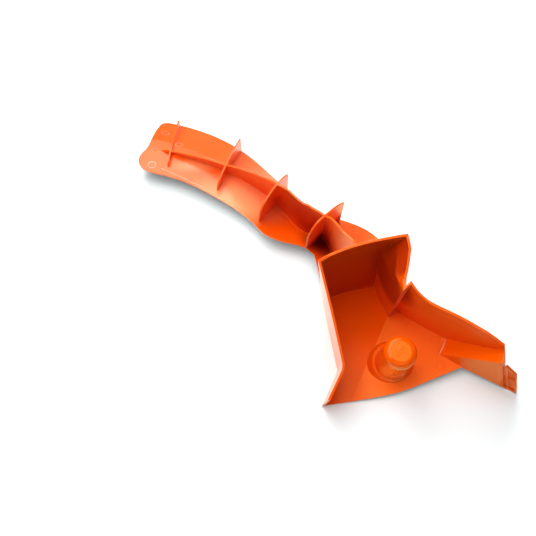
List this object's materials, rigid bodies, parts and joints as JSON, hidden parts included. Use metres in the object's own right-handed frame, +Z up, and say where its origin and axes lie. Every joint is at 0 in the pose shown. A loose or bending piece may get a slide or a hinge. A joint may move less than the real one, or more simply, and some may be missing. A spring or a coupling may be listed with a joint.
{
  "type": "mower mulching plug",
  "caption": "Hollow plastic plug that fills a mower deck's discharge opening, with a walled tray, a round knob, a side wing and a long ribbed arm.",
  "frame": {"origin": "centre of the plan box of the part as it rests, on the ground", "axes": "+Z up from the ground it rests on, +X towards the wing, -Y towards the open front of the tray; the arm runs off to -X and +Y"},
  "size_m": [0.515, 0.513, 0.1557],
  "materials": {
    "orange_plastic": "satin moulded polypropylene"
  },
  "bodies": {
    "root": {"mulching_plug": "orange_plastic"}
  },
  "joints": []
}
